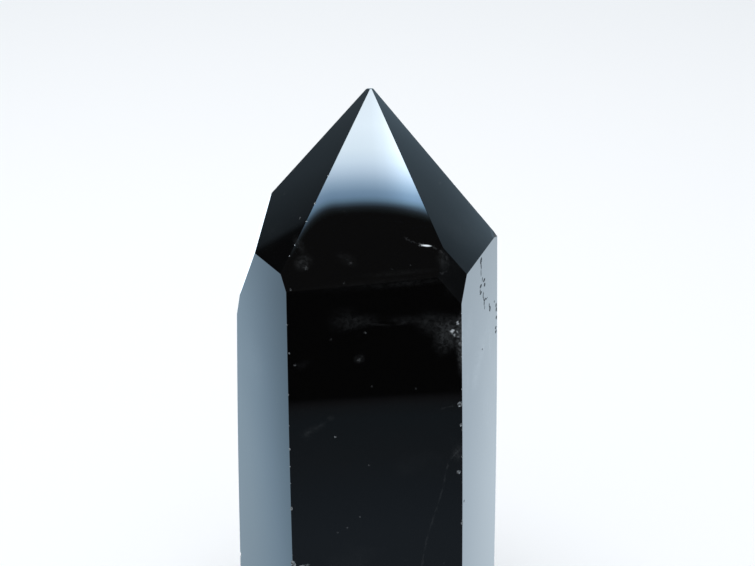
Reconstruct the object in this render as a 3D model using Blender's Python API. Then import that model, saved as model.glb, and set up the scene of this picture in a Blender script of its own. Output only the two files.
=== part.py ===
"""Morion quartz point: a near-black smoky quartz crystal, cut and polished as a free-standing tower.

Metres, +Z up. The origin is the centre of the polished base, and the broad front face looks along -Y.
The crystal is the space inside a set of ground planes, as the real one is: six tall sides, six faces
that rise to the tip, and a few odd cuts where the lapidary took off a flaw. Each plane is given the way
a cutter would set it: the way that it faces, its lean or slope, and its distance from the tip's axis.
"""

import math
import random

import bmesh
import bpy
from mathutils import Matrix, Vector

MM = 0.001

# Overall size, to the sharp tip before it is blunted
HEIGHT = 80.0 * MM
BLANK = 60.0 * MM
SHOULDER_DROP = 20.0 * MM

# Tall sides: (faces towards, leans inward by, distance from the axis at the shoulder).
# Angles are in degrees, 0 facing -Y and growing towards +X; distances are in millimetres.
SIDES = {
    "front": (0.0, 0.9, 12.05),
    "front_right": (62.6, 1.4, 13.9),
    "back_right": (118.7, 0.25, 13.55),
    "back": (181.0, 0.7, 13.2),
    "back_left": (-120.7, 1.85, 13.5),
    "front_left": (-63.8, 0.4, 15.25),
}

# Faces of the tip: (faces towards, slope from level, how far it passes outside the tip)
TIP_FACES = {
    "tip_front": (-2.0, 58.6, 0.04),
    "tip_front_right": (61.4, 55.1, 0.06),
    "tip_back_right": (118.2, 56.2, 0.17),
    "tip_back": (179.0, 54.5, 0.12),
    "tip_back_left": (-120.5, 52.75, 0.31),
    "tip_front_left": (-62.8, 50.4, 0.03),
}

# Odd cuts at the shoulder: (faces towards, slope from level, distance from the tip)
SHOULDER_CUTS = {
    "left_cut": (-97.7, 72.65, 7.44),
    "left_ease": (-97.7, 80.7, 11.457),
    "right_cut": (29.3, 68.6, 5.78),
    "right_nick": (70.0, 66.0, 5.272),
}

# The blunt tip: how far it is taken down, the way it faces and how steeply it looks up
TIP_BLUNT = 0.18 * MM
BLUNT_FACES = 174.0
BLUNT_RISE = 84.0

# How far every edge is eased. Edges that turn less than this are left alone.
EDGE_RADIUS = 0.18 * MM
EDGE_STEPS = 1
SMALLEST_TURN = math.radians(8.0)
EASED_DEPTH = 0.03 * MM

# Chips along the edges: (one face, the other, height above the base, length, depth) in millimetres
CHIPS = (
    ("front", "front_right", 26.5, 0.8, 0.16),
    ("front", "front_right", 12.5, 0.8, 0.16),
    ("front", "front_left", 30.1, 0.8, 0.16),
    ("front", "front_left", 21.8, 1.5, 0.30),
    ("front", "front_left", 7.4, 0.8, 0.15),
    ("back_right", "back", 47.0, 1.3, 0.22),
    ("back_right", "back", 18.5, 1.0, 0.17),
    ("back", "back_left", 38.0, 1.1, 0.18),
    ("back_left", "front_left", 15.0, 0.9, 0.15),
    ("front_right", "back_right", 9.0, 1.0, 0.17),
)

# Nicks and natural pits in a side: (side, across from its middle, height, length, width, depth), millimetres
PITS = (
    ("front", 9.44, 43.58, 0.8, 0.60, 0.15),
    ("front", 9.62, 40.71, 0.5, 0.40, 0.10),
    ("front", 9.48, 34.05, 0.6, 0.50, 0.12),
    ("front_right", 0.65, 59.35, 1.2, 0.30, 0.12),
    ("front_right", 1.64, 56.65, 0.8, 0.30, 0.12),
    ("front_right", 0.52, 56.00, 0.7, 0.30, 0.10),
    ("front_right", 1.86, 53.40, 1.3, 0.30, 0.12),
    ("front_right", 3.70, 51.50, 1.0, 0.30, 0.12),
    ("front_right", 6.36, 50.35, 1.0, 0.30, 0.10),
    ("front_right", 6.25, 47.70, 1.2, 0.30, 0.10),
    ("back", -3.2, 44.0, 1.6, 0.40, 0.14),
    ("back", -2.4, 41.6, 1.1, 0.30, 0.12),
    ("back_left", 3.6, 30.5, 1.3, 0.34, 0.12),
)
GRAIN_DETAIL = 2
SPIN_SEED = 7

# Colour and gloss of the stone
STONE_COLOUR = (0.006, 0.0055, 0.006, 1.0)
STONE_ROUGHNESS = 0.05
STONE_IOR = 1.544


def facing(azimuth, rise):
    """Unit vector that faces an azimuth and points up by rise, both in degrees."""
    a = math.radians(azimuth)
    b = math.radians(rise)
    return Vector((math.sin(a) * math.cos(b), -math.cos(a) * math.cos(b), math.sin(b)))


def cutting_planes():
    """Every ground plane as name: (point, outward normal), with the tip at the origin."""
    planes = {}
    for name, (azimuth, lean, distance) in SIDES.items():
        point = facing(azimuth, 0.0) * distance * MM + Vector((0.0, 0.0, -SHOULDER_DROP))
        planes[name] = (point, facing(azimuth, lean))
    for table in (TIP_FACES, SHOULDER_CUTS):
        for name, (azimuth, slope, distance) in table.items():
            normal = facing(azimuth, 90.0 - slope)
            planes[name] = (normal * distance * MM, normal)
    planes["blunt"] = (Vector((0.0, 0.0, -TIP_BLUNT)), facing(BLUNT_FACES, BLUNT_RISE))
    planes["base"] = (Vector((0.0, 0.0, -HEIGHT)), Vector((0.0, 0.0, -1.0)))
    return planes


def grind(bm, point, normal):
    """Take away everything in front of a plane and close the cut with one flat face."""
    geometry = bm.verts[:] + bm.edges[:] + bm.faces[:]
    result = bmesh.ops.bisect_plane(
        bm, geom=geometry, dist=1e-8, plane_co=point, plane_no=normal, clear_outer=True
    )
    rim = [item for item in result["geom_cut"] if isinstance(item, bmesh.types.BMEdge)]
    if len(rim) > 2:
        bmesh.ops.contextual_create(bm, geom=rim)


def ease_edges(bm, radius, steps):
    """Round each edge with planes that touch a rod of the given radius laid inside it."""
    bm.normal_update()
    cuts = []
    for edge in bm.edges:
        first, second = (face.normal.copy() for face in edge.link_faces)
        if first.angle(second) < SMALLEST_TURN:
            continue
        middle = (edge.verts[0].co + edge.verts[1].co) / 2.0
        rod = middle - (first + second) * radius / (1.0 + first.dot(second))
        for step in range(1, steps + 1):
            normal = first.slerp(second, step / (steps + 1))
            cuts.append((rod + normal * radius, normal))
    for point, normal in cuts:
        grind(bm, point, normal)


def edge_point(planes, first, second, height):
    """Point of the edge between two ground planes at a height above the base."""
    point_a, normal_a = planes[first]
    point_b, normal_b = planes[second]
    rows = Matrix((normal_a, normal_b, Vector((0.0, 0.0, 1.0))))
    reach = Vector((normal_a.dot(point_a), normal_b.dot(point_b), height - HEIGHT))
    return rows.inverted() @ reach


def add_chip_balls(bm, planes, middle):
    """Balls outside the edges whose near sides scoop the chips out."""
    draw = random.Random(SPIN_SEED)
    for first, second, height, length, depth in CHIPS:
        point = edge_point(planes, first, second, height * MM)
        outward = (planes[first][1] + planes[second][1]).normalized()
        radius = (length * length / 4.0 + depth * depth) / (2.0 * depth) * MM
        centre = point + outward * (radius - depth * MM - EASED_DEPTH)
        turn = Matrix.Rotation(draw.uniform(0.0, math.tau), 4, outward)
        place = Matrix.Translation(centre - middle) @ turn
        bmesh.ops.create_icosphere(bm, subdivisions=GRAIN_DETAIL, radius=radius, matrix=place)


def add_pit_grains(bm, planes, middle):
    """Long grains half sunk in a side, which leave its nicks and natural pits."""
    for side, across, height, length, width, depth in PITS:
        azimuth = math.radians(SIDES[side][0])
        point, normal = planes[side]
        sideways = Vector((math.cos(azimuth), math.sin(azimuth), 0.0))
        upwards = normal.cross(sideways)
        rise = (height * MM - HEIGHT - point.z) / upwards.z
        centre = point + sideways * across * MM + upwards * rise - middle
        axes = Matrix((sideways, upwards, normal)).transposed().to_4x4()
        grain = Matrix.Diagonal((width / 2.0 * MM, length / 2.0 * MM, depth * MM, 1.0))
        place = Matrix.Translation(centre) @ axes @ grain
        bmesh.ops.create_icosphere(bm, subdivisions=GRAIN_DETAIL, radius=1.0, matrix=place)


def flaw_cutters(planes, middle):
    """One hidden mesh of everything that is scooped out of the finished facets."""
    bm = bmesh.new()
    add_chip_balls(bm, planes, middle)
    add_pit_grains(bm, planes, middle)
    mesh = bpy.data.meshes.new("flaw_cutters")
    bm.to_mesh(mesh)
    bm.free()
    cutters = bpy.data.objects.new("flaw_cutters", mesh)
    cutters.hide_render = True
    cutters.display_type = "WIRE"
    bpy.context.collection.objects.link(cutters)
    return cutters


def stone_material():
    """Black polished quartz: almost no body colour, and a glassy surface."""
    material = bpy.data.materials.new("morion_quartz")
    material.use_nodes = True
    shader = material.node_tree.nodes["Principled BSDF"]
    shader.inputs["Base Color"].default_value = STONE_COLOUR
    shader.inputs["Roughness"].default_value = STONE_ROUGHNESS
    shader.inputs["Metallic"].default_value = 0.0
    shader.inputs["IOR"].default_value = STONE_IOR
    return material


def quartz_point():
    """The whole crystal, ground from a block and set with the middle of its base at the origin."""
    planes = cutting_planes()
    bm = bmesh.new()
    block = Matrix.Translation((0.0, 0.0, -HEIGHT / 2.0)) @ Matrix.Diagonal((BLANK, BLANK, 2.0 * HEIGHT, 1.0))
    bmesh.ops.create_cube(bm, size=1.0, matrix=block)
    for point, normal in planes.values():
        grind(bm, point, normal)
    ease_edges(bm, EDGE_RADIUS, EDGE_STEPS)
    bmesh.ops.recalc_face_normals(bm, faces=bm.faces[:])

    lowest = [min(vertex.co[axis] for vertex in bm.verts) for axis in range(3)]
    highest = [max(vertex.co[axis] for vertex in bm.verts) for axis in range(3)]
    middle = Vector(((lowest[0] + highest[0]) / 2.0, (lowest[1] + highest[1]) / 2.0, lowest[2]))
    bmesh.ops.translate(bm, verts=bm.verts[:], vec=-middle)

    mesh = bpy.data.meshes.new("quartz_point")
    bm.to_mesh(mesh)
    bm.free()
    crystal = bpy.data.objects.new("quartz_point", mesh)
    crystal.data.materials.append(stone_material())
    bpy.context.collection.objects.link(crystal)

    flaws = crystal.modifiers.new("chips_and_pits", "BOOLEAN")
    flaws.operation = "DIFFERENCE"
    flaws.object = flaw_cutters(planes, middle)
    return crystal


for item in list(bpy.data.objects):
    bpy.data.objects.remove(item, do_unlink=True)
quartz_point()
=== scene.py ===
# %% [markdown]
# # A morion quartz point
#
# Morion is smoky quartz so dark that it looks black. This one was ground into six tall sides and six
# faces that rise to a tip, polished until it mirrors the room, and stands on a flat ground base.
# A black mirror shows very little of itself, so the work is in three places: facets that are flat but
# not perfect, the small flaws that a real stone keeps, and surroundings worth reflecting.

import math
import random

import bmesh
import bpy
from mathutils import Matrix, Vector, noise


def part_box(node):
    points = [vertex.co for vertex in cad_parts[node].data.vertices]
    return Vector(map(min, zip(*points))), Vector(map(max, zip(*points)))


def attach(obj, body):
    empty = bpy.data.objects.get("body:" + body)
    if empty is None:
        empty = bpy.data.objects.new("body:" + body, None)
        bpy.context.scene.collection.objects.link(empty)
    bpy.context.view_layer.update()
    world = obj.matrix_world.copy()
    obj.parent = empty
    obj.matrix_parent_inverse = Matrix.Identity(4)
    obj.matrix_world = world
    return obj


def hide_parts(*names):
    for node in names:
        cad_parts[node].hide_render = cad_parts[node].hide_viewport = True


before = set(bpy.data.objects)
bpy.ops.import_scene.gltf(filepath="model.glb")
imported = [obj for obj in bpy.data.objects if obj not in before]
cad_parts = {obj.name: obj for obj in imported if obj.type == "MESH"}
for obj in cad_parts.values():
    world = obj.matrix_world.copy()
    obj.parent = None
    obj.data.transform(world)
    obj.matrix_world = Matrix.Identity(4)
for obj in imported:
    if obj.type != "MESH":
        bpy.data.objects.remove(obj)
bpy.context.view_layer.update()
MM = 0.001
low_corner, high_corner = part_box("quartz_point")
print("solid, in millimetres:", [round(side / MM, 2) for side in high_corner - low_corner])

# %% [markdown]
# ## The camera
#
# The photo was taken from a little to the left and above with a long lens, so upright edges stay nearly
# parallel. The camera comes first.

# %% Choose the view
SENSOR_WIDTH = 36.0
LENS = 90.3
VIEW_AZIMUTH = -5.85
VIEW_RISE = 26.9
VIEW_DISTANCE = 234.0 * MM
AIM_HEIGHT = 54.25 * MM
AIM_ACROSS = 0.8 * MM


def direction(azimuth, rise):
    """Unit vector towards an azimuth (0 is -Y, growing towards +X) and a rise, both in degrees."""
    a = math.radians(azimuth)
    b = math.radians(rise)
    return Vector((math.sin(a) * math.cos(b), -math.cos(a) * math.cos(b), math.sin(b)))


print("the view comes from", [round(value, 3) for value in direction(VIEW_AZIMUTH, VIEW_RISE)])

# %% [markdown]
# ## The ground planes
#
# A cutter sets each face by the way it faces, how far it leans, and how deep it goes. The same three
# numbers describe a plane here, so the crystal can be ground in code just as it was on the wheel: start
# with a block, and take away all that lies outside each plane. Modelling it by moving corner points
# would be worse, because seven planes share some corners and the faces would stop being flat.

# %% The sides, the tip and the odd cuts
HEIGHT = 80.0 * MM
SHOULDER_DROP = 20.0 * MM
TIP_BLUNT = 0.18 * MM

# Tall sides: (faces towards, leans inward by, distance from the axis at the shoulder in millimetres)
SIDES = {
    "front": (0.0, 0.9, 12.05),
    "front_right": (62.6, 1.4, 13.9),
    "back_right": (118.7, 0.25, 13.55),
    "back": (181.0, 0.7, 13.2),
    "back_left": (-120.7, 1.85, 13.5),
    "front_left": (-63.8, 0.4, 15.25),
}
# Tip faces and odd cuts: (faces towards, slope from level, distance from the tip in millimetres)
TIP_FACES = {
    "tip_front": (-2.0, 58.6, 0.04),
    "tip_front_right": (61.4, 55.1, 0.06),
    "tip_back_right": (118.2, 56.2, 0.17),
    "tip_back": (179.0, 54.5, 0.12),
    "tip_back_left": (-120.5, 52.75, 0.31),
    "tip_front_left": (-62.8, 50.4, 0.03),
}
SHOULDER_CUTS = {
    "left_cut": (-97.7, 72.65, 7.44),
    "left_ease": (-97.7, 80.7, 11.457),
    "right_cut": (29.3, 68.6, 5.78),
    "right_nick": (70.0, 66.0, 5.272),
}
BLUNT_FACES = 174.0
BLUNT_RISE = 84.0

planes = {}
for name, (azimuth, lean, distance) in SIDES.items():
    point = direction(azimuth, 0.0) * distance * MM + Vector((0.0, 0.0, -SHOULDER_DROP))
    planes[name] = (point, direction(azimuth, lean))
for name, (azimuth, slope, distance) in {**TIP_FACES, **SHOULDER_CUTS}.items():
    normal = direction(azimuth, 90.0 - slope)
    planes[name] = (normal * distance * MM, normal)
planes["blunt"] = (Vector((0.0, 0.0, -TIP_BLUNT)), direction(BLUNT_FACES, BLUNT_RISE))
planes["base"] = (Vector((0.0, 0.0, -HEIGHT)), Vector((0.0, 0.0, -1.0)))
print("planes to grind:", len(planes))

# %% [markdown]
# ## Grinding
#
# `bisect_plane` cuts a mesh with a plane and can throw away what lies outside, and `contextual_create`
# closes the cut with a single flat face. The stone stays a convex block all the way through, so the rim
# of each cut is one simple loop and the face on it is always clean.

# %% Grind the block
BLANK = 60.0 * MM
# Points nearer to a cutting plane than this, in metres, count as lying on it
ON_PLANE = 1e-8


def grind(bm, point, normal):
    """Take away everything in front of a plane and close the cut with one flat face."""
    geometry = bm.verts[:] + bm.edges[:] + bm.faces[:]
    result = bmesh.ops.bisect_plane(
        bm, geom=geometry, dist=ON_PLANE, plane_co=point, plane_no=normal, clear_outer=True
    )
    rim = [item for item in result["geom_cut"] if isinstance(item, bmesh.types.BMEdge)]
    if len(rim) > 2:
        bmesh.ops.contextual_create(bm, geom=rim)


stone = bmesh.new()
block = Matrix.Diagonal((BLANK, BLANK, 2.0 * HEIGHT, 1.0))
block = Matrix.Translation((0.0, 0.0, -HEIGHT / 2.0)) @ block
bmesh.ops.create_cube(stone, size=1.0, matrix=block)
for point, normal in planes.values():
    grind(stone, point, normal)
print("ground facets:", len(stone.faces), "edges:", len(stone.edges))

# %% [markdown]
# ## Easing the edges
#
# No polished edge is razor sharp: the last wheel rolls over it and leaves a thin thread of light.
# A bevel would do it, but its width would be held back by the tiniest edge near the tip. Grinding a few
# more planes along each edge, each touching the same thin rod laid inside it, rounds them all alike.

# %% Ease every edge
EDGE_RADIUS = 0.07 * MM
EDGE_STEPS = 3
SMALLEST_TURN = math.radians(5.0)


def edge_cuts(bm, radius, steps):
    """The planes that round each edge of a convex block."""
    bm.normal_update()
    cuts = []
    for edge in bm.edges:
        first, second = (face.normal.copy() for face in edge.link_faces)
        if first.angle(second) < SMALLEST_TURN:
            continue
        middle = (edge.verts[0].co + edge.verts[1].co) / 2.0
        rod = middle - (first + second) * radius / (1.0 + first.dot(second))
        for step in range(1, steps + 1):
            normal = first.slerp(second, step / (steps + 1))
            cuts.append((rod + normal * radius, normal))
    return cuts


for point, normal in edge_cuts(stone, EDGE_RADIUS, EDGE_STEPS):
    grind(stone, point, normal)
bmesh.ops.recalc_face_normals(stone, faces=stone.faces[:])
print("faces with eased edges:", len(stone.faces))

# %% [markdown]
# ## Facets that were polished by hand
#
# A facet pressed on a wheel by hand is never dead flat. It crowns by a few hundredths of a millimetre
# and rolls off towards its edges, and a tall column bows a little along its length. Nobody sees that as
# a shape, but a mirror doubles every slope, so the reflections bend and shade because of it. To carry
# such a curve the facets need points of their own, so the stone is sliced by level planes and by planes
# through its axis, with nothing taken away.

# %% Slice the facets
SLICE = 0.9 * MM
# Degrees from one upright slice to the next
FAN = 4.0


def slice_through(bm, point, normal):
    """Cut new edges along a plane and keep both halves."""
    geometry = bm.verts[:] + bm.edges[:] + bm.faces[:]
    bmesh.ops.bisect_plane(bm, geom=geometry, dist=ON_PLANE, plane_co=point, plane_no=normal)


level = -SLICE / 2.0
while level > -HEIGHT:
    slice_through(stone, Vector((0.0, 0.0, level)), Vector((0.0, 0.0, 1.0)))
    level -= SLICE
turn = FAN / 2.0
while turn < 180.0:
    slice_through(stone, Vector((0.0, 0.0, 0.0)), direction(turn, 0.0))
    turn += FAN
print("faces after slicing:", len(stone.faces))

# %% How a facet crowns
# How far the middle of each facet stands proud, in millimetres
CROWN = {
    "front": 0.02, "front_left": 0.03, "front_right": 0.03, "back": 0.05, "back_left": 0.05,
    "back_right": 0.05, "tip_front": 0.004, "tip_front_right": 0.012, "tip_front_left": 0.008,
    "tip_back": 0.02, "tip_back_left": 0.02, "tip_back_right": 0.02, "left_cut": 0.2,
}
# How far in from an edge a facet has risen by nearly two thirds
CROWN_REACH = 4.0 * MM
# A far smaller wave runs over every facet
WAVE = 0.0012 * MM
WAVE_LENGTH = 9.0 * MM


def crowned(co):
    """How far a point of the flat-faced stone moves when its facet is crowned."""
    inside = {name: (point - co).dot(normal) for name, (point, normal) in planes.items()}
    facet = min(inside, key=inside.get)
    rise = CROWN.get(facet, 0.0) * MM
    for name, depth in inside.items():
        if name != facet:
            rise *= 1.0 - math.exp(-max(depth, 0.0) / CROWN_REACH)
    wave = noise.noise(co / WAVE_LENGTH) * WAVE
    return planes[facet][1] * (rise + wave)


print("facets that crown:", len(CROWN), "the most", max(CROWN.values()), "mm")

# %% How the column bows
BOW = 0.17 * MM
# Measured from the tip, downwards
BOW_CENTRE = -45.0 * MM
BOW_HALF = 33.0 * MM


def bowed(co):
    """How far a point of the column moves outwards when the column is bowed."""
    along = (co.z - BOW_CENTRE) / BOW_HALF
    outwards = Vector((co.x, co.y, 0.0))
    if abs(along) >= 1.0 or outwards.length < MM:
        return Vector((0.0, 0.0, 0.0))
    return outwards.normalized() * BOW * (1.0 - along * along) ** 2


print("the column stands proud by up to", round(BOW / MM, 2), "mm, half way along its bow")

# %% Curve the stone and stand it on the frame
for vertex in stone.verts:
    vertex.co += crowned(vertex.co)
for vertex in stone.verts:
    vertex.co += bowed(vertex.co)

lowest = Vector([min(vertex.co[axis] for vertex in stone.verts) for axis in range(3)])
highest = Vector([max(vertex.co[axis] for vertex in stone.verts) for axis in range(3)])
middle = (lowest + highest) / 2.0 - (low_corner + high_corner) / 2.0
middle.z = lowest.z - low_corner.z
bmesh.ops.translate(stone, verts=stone.verts[:], vec=-middle)
print("tip stands at", [round(value / MM, 2) for value in -middle])

# %% [markdown]
# ## Chips and pits
#
# Quartz breaks like glass, in small shells. Along the edges a knock leaves a scoop, and here and there
# the wheel opened a natural pit that was left in. Each is cut by a small rounded grain with a Boolean,
# so it is real depth with its own shading. The grains carry their own materials, and the Boolean hands
# them to the walls that they cut.

# %% Where the edges are chipped
# (one face, the other, height above the base, length, depth) in millimetres
CHIPS = (
    ("front", "front_right", 36.2, 0.35, 0.07),
    ("front", "front_right", 26.5, 0.50, 0.12),
    ("front", "front_right", 12.5, 0.60, 0.12),
    ("front", "front_left", 38.6, 0.35, 0.07),
    ("front", "front_left", 30.1, 0.60, 0.13),
    ("front", "front_left", 21.8, 1.30, 0.28),
    ("front", "front_left", 7.4, 0.60, 0.12),
    ("back_right", "back", 47.0, 1.20, 0.20),
    ("back_right", "back", 18.5, 0.90, 0.15),
    ("back", "back_left", 38.0, 1.00, 0.16),
    ("back_left", "front_left", 15.0, 0.80, 0.13),
    ("front_right", "back_right", 9.0, 0.90, 0.15),
    ("tip_front", "tip_front_left", 66.74, 0.16, 0.025),
    ("tip_front", "tip_front_left", 64.40, 0.20, 0.030),
    ("tip_front", "tip_front_left", 63.30, 0.18, 0.025),
)
# Edges that keep a row of tiny chips: (one face, the other, from height, to height) in millimetres
WORN_EDGES = (
    ("front", "front_right", 2.0, 58.0), ("front", "front_left", 2.0, 59.0),
    ("front_right", "back_right", 2.0, 58.0), ("back_right", "back", 2.0, 58.0),
    ("back", "back_left", 2.0, 60.0), ("back_left", "front_left", 2.0, 46.0),
    ("tip_front", "tip_front_left", 68.0, 78.0), ("tip_front_right", "tip_back_right", 62.0, 78.0),
    ("tip_back_right", "tip_back", 62.5, 78.0), ("tip_back", "tip_back_left", 64.0, 78.0),
)
WORN_SPACING = 7.0
# The gap from one tiny chip to the next, as a share of the spacing
WORN_GAP = (0.3, 1.7)
WORN_LENGTH = (0.14, 0.32)
WORN_DEPTH_FOR_LENGTH = 0.2
# How far the easing has already taken an edge down
EASED_DEPTH = 0.012 * MM


def edge_point(first, second, height):
    """Point of the edge between two ground planes at a height above the base."""
    point_a, normal_a = planes[first]
    point_b, normal_b = planes[second]
    rows = Matrix((normal_a, normal_b, Vector((0.0, 0.0, 1.0))))
    reach = Vector((normal_a.dot(point_a), normal_b.dot(point_b), height - HEIGHT))
    spot = rows.inverted() @ reach
    return spot + bowed(spot)


print("chips:", len(CHIPS), "the longest", max(chip[3] for chip in CHIPS), "mm")
print("worn edges:", len(WORN_EDGES))

# %% Where the faces are nicked and pitted
# (face, across from its middle, height, half width, half height, depth) in millimetres
NICKS = (
    ("front", 9.44, 43.58, 0.28, 0.38, 0.15),
    ("front", 9.62, 40.71, 0.19, 0.20, 0.09),
    ("front", 9.44, 34.05, 0.26, 0.27, 0.11),
    ("front", -10.84, 51.70, 0.10, 0.14, 0.05),
    ("front", -9.90, 21.60, 0.42, 0.10, 0.06),
    ("back_left", -1.5, 24.0, 0.30, 0.22, 0.10),
)
# A broken row of open splits runs down the right face: (across, height, half width, half height, depth)
SPLITS = (
    (0.76, 59.50, 0.36, 0.42, 0.11), (0.78, 58.75, 0.16, 0.50, 0.07), (0.72, 57.85, 0.12, 0.50, 0.06),
    (1.87, 56.37, 0.40, 0.22, 0.10), (2.02, 55.68, 0.30, 0.26, 0.10), (1.20, 56.80, 0.14, 0.30, 0.05),
    (0.59, 56.15, 0.40, 0.24, 0.10), (0.35, 55.60, 0.16, 0.26, 0.06), (0.60, 55.22, 0.38, 0.18, 0.09),
    (1.48, 54.55, 0.15, 0.42, 0.08), (1.66, 53.95, 0.12, 0.34, 0.07), (1.82, 53.30, 0.17, 0.40, 0.08),
    (2.16, 53.62, 0.32, 0.17, 0.09), (2.85, 53.42, 0.26, 0.12, 0.07), (1.94, 52.60, 0.12, 0.26, 0.05),
    (3.72, 52.05, 0.16, 0.32, 0.06), (3.98, 51.45, 0.28, 0.40, 0.10), (6.42, 50.75, 0.24, 0.30, 0.08),
    (6.50, 50.10, 0.28, 0.30, 0.09), (6.50, 48.98, 0.26, 0.26, 0.09), (6.26, 47.66, 0.30, 0.22, 0.08),
    (6.30, 47.10, 0.30, 0.24, 0.09), (0.97, 47.31, 0.20, 0.12, 0.05), (5.70, 51.60, 0.14, 0.16, 0.05),
)
# Each pit is a small patch of grains: (face, across, height, half width, half height, grains)
PITS = (
    ("front_right", -5.90, 29.50, 0.05, 0.20, 1),
    ("back", -3.0, 43.0, 0.90, 1.80, 9),
    ("back_left", 3.6, 30.5, 0.60, 0.90, 6),
    ("back_right", -2.0, 24.0, 0.50, 1.10, 6),
    ("tip_back_left", 1.5, 68.0, 0.40, 0.40, 4),
)
PIT_HALF_WIDTH = (0.12, 0.26)
PIT_HALF_HEIGHT = (0.10, 0.24)
PIT_DEPTH = (0.05, 0.10)


def face_place(face, across, height):
    """Matrix of a spot on a face: X along its width, Y up it and Z straight out."""
    point, normal = planes[face]
    level_out = Vector((normal.x, normal.y, 0.0)).normalized()
    sideways = Vector((-level_out.y, level_out.x, 0.0))
    upwards = normal.cross(sideways)
    drop = height * MM - HEIGHT
    reach = (normal.dot(point) - normal.z * drop) / normal.dot(level_out)
    spot = level_out * reach + sideways * across * MM + Vector((0.0, 0.0, drop))
    spot += bowed(spot) - middle
    return Matrix.Translation(spot) @ Matrix((sideways, upwards, normal)).transposed().to_4x4()


print("nicks:", len(NICKS), "splits:", len(SPLITS), "grains in pits:", sum(patch[5] for patch in PITS))

# %% Make a grain
# A grain of radius 1 is pushed in and out by this much, in lumps of this scale
ROUGHEN = 0.12
ROUGHEN_SCALE = 1.7
# Every grain reads the noise at a place of its own, up to this far away
NOISE_SPREAD = 50.0
# How far a grain on a face may turn either way, in radians
FACE_SPIN = 0.3

draw = random.Random(7)
grains = bmesh.new()


def add_grain(matrix, subdivisions):
    """An uneven ball: its points are pushed in and out by noise before the matrix places it."""
    made = bmesh.ops.create_icosphere(grains, subdivisions=subdivisions, radius=1.0)
    seed = Vector((draw.random(), draw.random(), draw.random())) * NOISE_SPREAD
    for vertex in made["verts"]:
        vertex.co *= 1.0 + noise.noise(vertex.co * ROUGHEN_SCALE + seed) * ROUGHEN
    bmesh.ops.transform(grains, verts=made["verts"], matrix=matrix)


def scoop_edge(first, second, height, length, depth, subdivisions):
    """Add the grain that scoops a chip out of an edge."""
    outward = (planes[first][1] + planes[second][1]).normalized()
    radius = (length * length / 4.0 + depth * depth) / (2.0 * depth) * MM
    centre = edge_point(first, second, height * MM) + outward * (radius - depth * MM - EASED_DEPTH)
    spin = Matrix.Rotation(draw.uniform(0.0, math.tau), 4, outward)
    add_grain(Matrix.Translation(centre - middle) @ spin @ Matrix.Scale(radius, 4), subdivisions)


def scoop_face(face, across, height, half_width, half_height, depth, subdivisions):
    """Add the grain that scoops a nick or a pit out of a face."""
    spin = Matrix.Rotation(draw.uniform(-FACE_SPIN, FACE_SPIN), 4, "Z")
    shape = Matrix.Diagonal((half_width * MM, half_height * MM, depth * MM, 1.0))
    add_grain(face_place(face, across, height) @ spin @ shape, subdivisions)


print("a grain is pushed in or out by up to", ROUGHEN, "of its radius")

# %% Lay a grain for every chip, nick, split and pit
# How finely the larger and the smaller grains are divided
LARGE = 3
SMALL = 2
# Places in the stone's list of materials. The polish comes first, at 0
CHIPPED_PLACE = 1
PITTED_PLACE = 2

for chip in CHIPS:
    scoop_edge(*chip, LARGE)
for first, second, low, high in WORN_EDGES:
    height = low + draw.uniform(0.0, WORN_SPACING)
    while height < high:
        length = draw.uniform(*WORN_LENGTH)
        scoop_edge(first, second, height, length, length * WORN_DEPTH_FOR_LENGTH, SMALL)
        height += draw.uniform(*WORN_GAP) * WORN_SPACING
for nick in NICKS:
    scoop_face(*nick, LARGE)
chip_faces = len(grains.faces)
for split in SPLITS:
    scoop_face("front_right", *split, SMALL)
for face, across, height, half_width, half_height, count in PITS:
    for grain in range(count):
        aside = draw.uniform(-half_width, half_width)
        above = draw.uniform(-half_height, half_height)
        size = [draw.uniform(*span) for span in (PIT_HALF_WIDTH, PIT_HALF_HEIGHT, PIT_DEPTH)]
        scoop_face(face, across + aside, height + above, *size, SMALL)
grains.faces.ensure_lookup_table()
for index, face in enumerate(grains.faces):
    face.material_index = CHIPPED_PLACE if index < chip_faces else PITTED_PLACE
print("grain faces:", len(grains.faces))

# %% [markdown]
# ## The stone's materials
#
# The body is as good as black, with a glassy skin. Quartz bends light by 1.544, which sets how strongly
# it mirrors at each angle, so that number is worth getting right. Just under the polish hang the things
# that a cutter can't remove: healed cracks as thin grey lines, soft veils, and pin-sharp specks. They
# are painted where they lie, in object space, so they stay put when the camera moves.

# %% Helpers for node trees
QUARTZ_IOR = 1.544


def new_material(name, colour, roughness):
    """A quartz material, its node tree and its shader."""
    material = bpy.data.materials.new(name)
    material.use_nodes = True
    shader = material.node_tree.nodes["Principled BSDF"]
    shader.inputs["Base Color"].default_value = (*colour, 1.0)
    shader.inputs["Roughness"].default_value = roughness
    shader.inputs["IOR"].default_value = QUARTZ_IOR
    return material, material.node_tree, shader


def feed(tree, socket, value):
    """Set a socket to a number or a colour, or link another node's output to it."""
    if isinstance(value, bpy.types.NodeSocket):
        tree.links.new(value, socket)
    else:
        socket.default_value = value


def math_node(tree, operation, *values):
    """A Math node; its inputs are sockets or numbers. Returns its output."""
    node = tree.nodes.new("ShaderNodeMath")
    node.operation = operation
    for socket, value in zip(node.inputs, values):
        feed(tree, socket, value)
    return node.outputs[0]


def between(tree, value, low, high, smooth=False):
    """How far a value has come from low to high, held between 0 and 1."""
    node = tree.nodes.new("ShaderNodeMapRange")
    node.interpolation_type = "SMOOTHSTEP" if smooth else "LINEAR"
    feed(tree, node.inputs["Value"], value)
    node.inputs["From Min"].default_value = low
    node.inputs["From Max"].default_value = high
    return node.outputs["Result"]


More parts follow.
